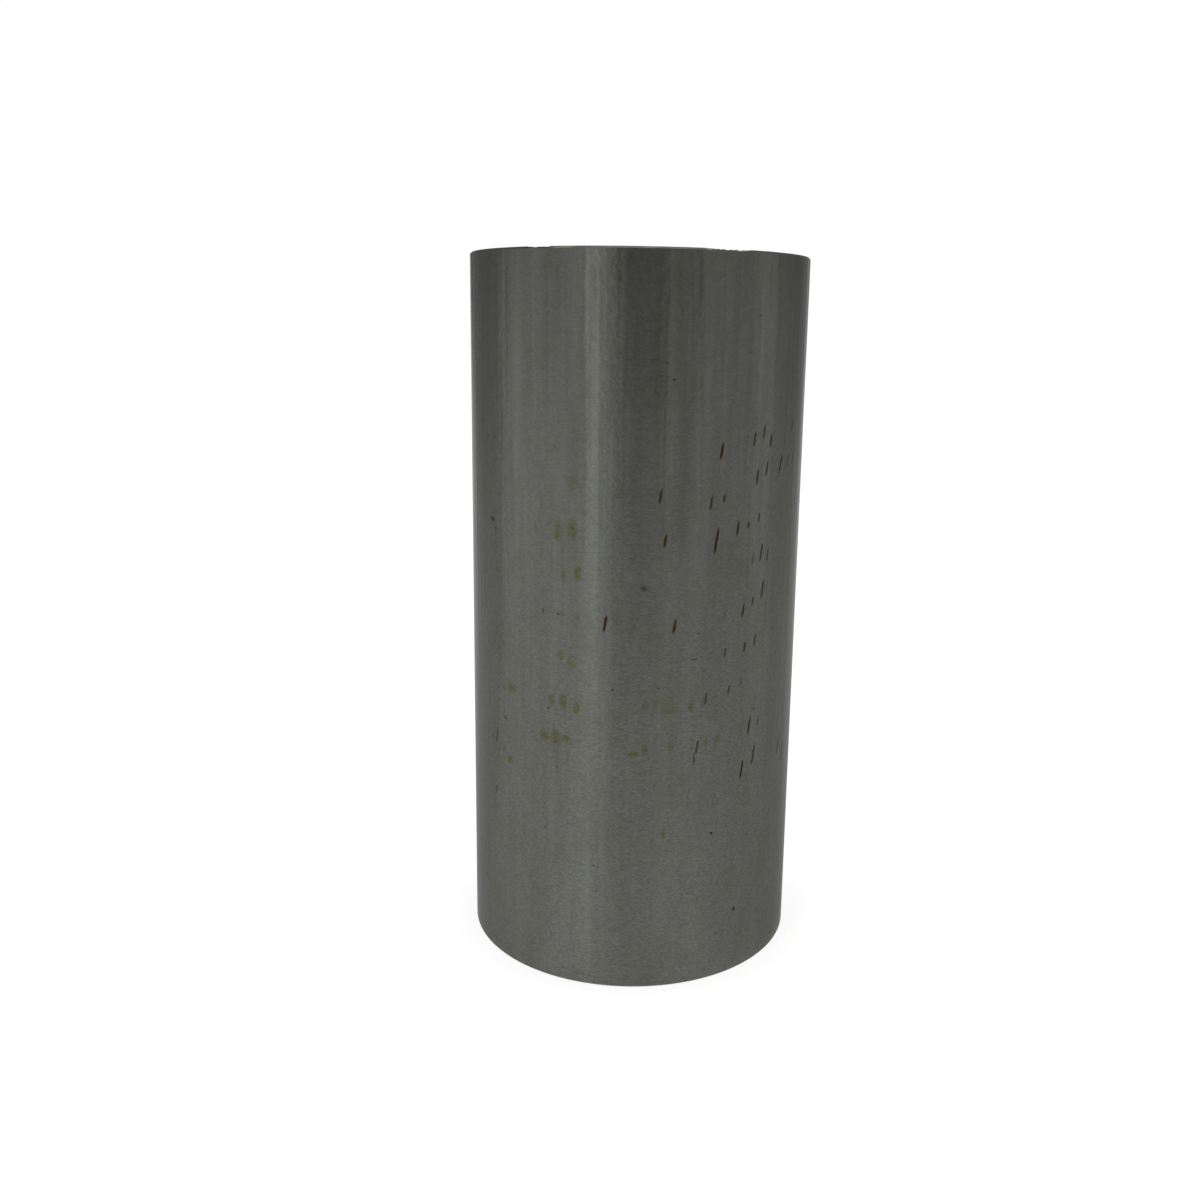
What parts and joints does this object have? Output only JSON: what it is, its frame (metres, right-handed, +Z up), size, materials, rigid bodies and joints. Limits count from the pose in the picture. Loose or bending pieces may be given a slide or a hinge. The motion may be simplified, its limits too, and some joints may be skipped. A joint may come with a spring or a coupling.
{
  "type": "cylinder liner",
  "caption": "Plain thin-walled cylinder liner: a ground tube without a flange, with a honed bore and small chamfers at both ends.",
  "frame": {"origin": "centre of the foot face, on the bore's axis", "axes": "+Z up along the bore's axis, from the foot to the top with the ring lead-in; -Y is the side shown in the picture"},
  "size_m": [0.098, 0.098, 0.204],
  "materials": {
    "ground_iron": "dark grey, ground round the outside, honed in the bore, with light rust ticks and oily smudges"
  },
  "bodies": {
    "root": {"liner": "ground_iron"}
  },
  "joints": []
}
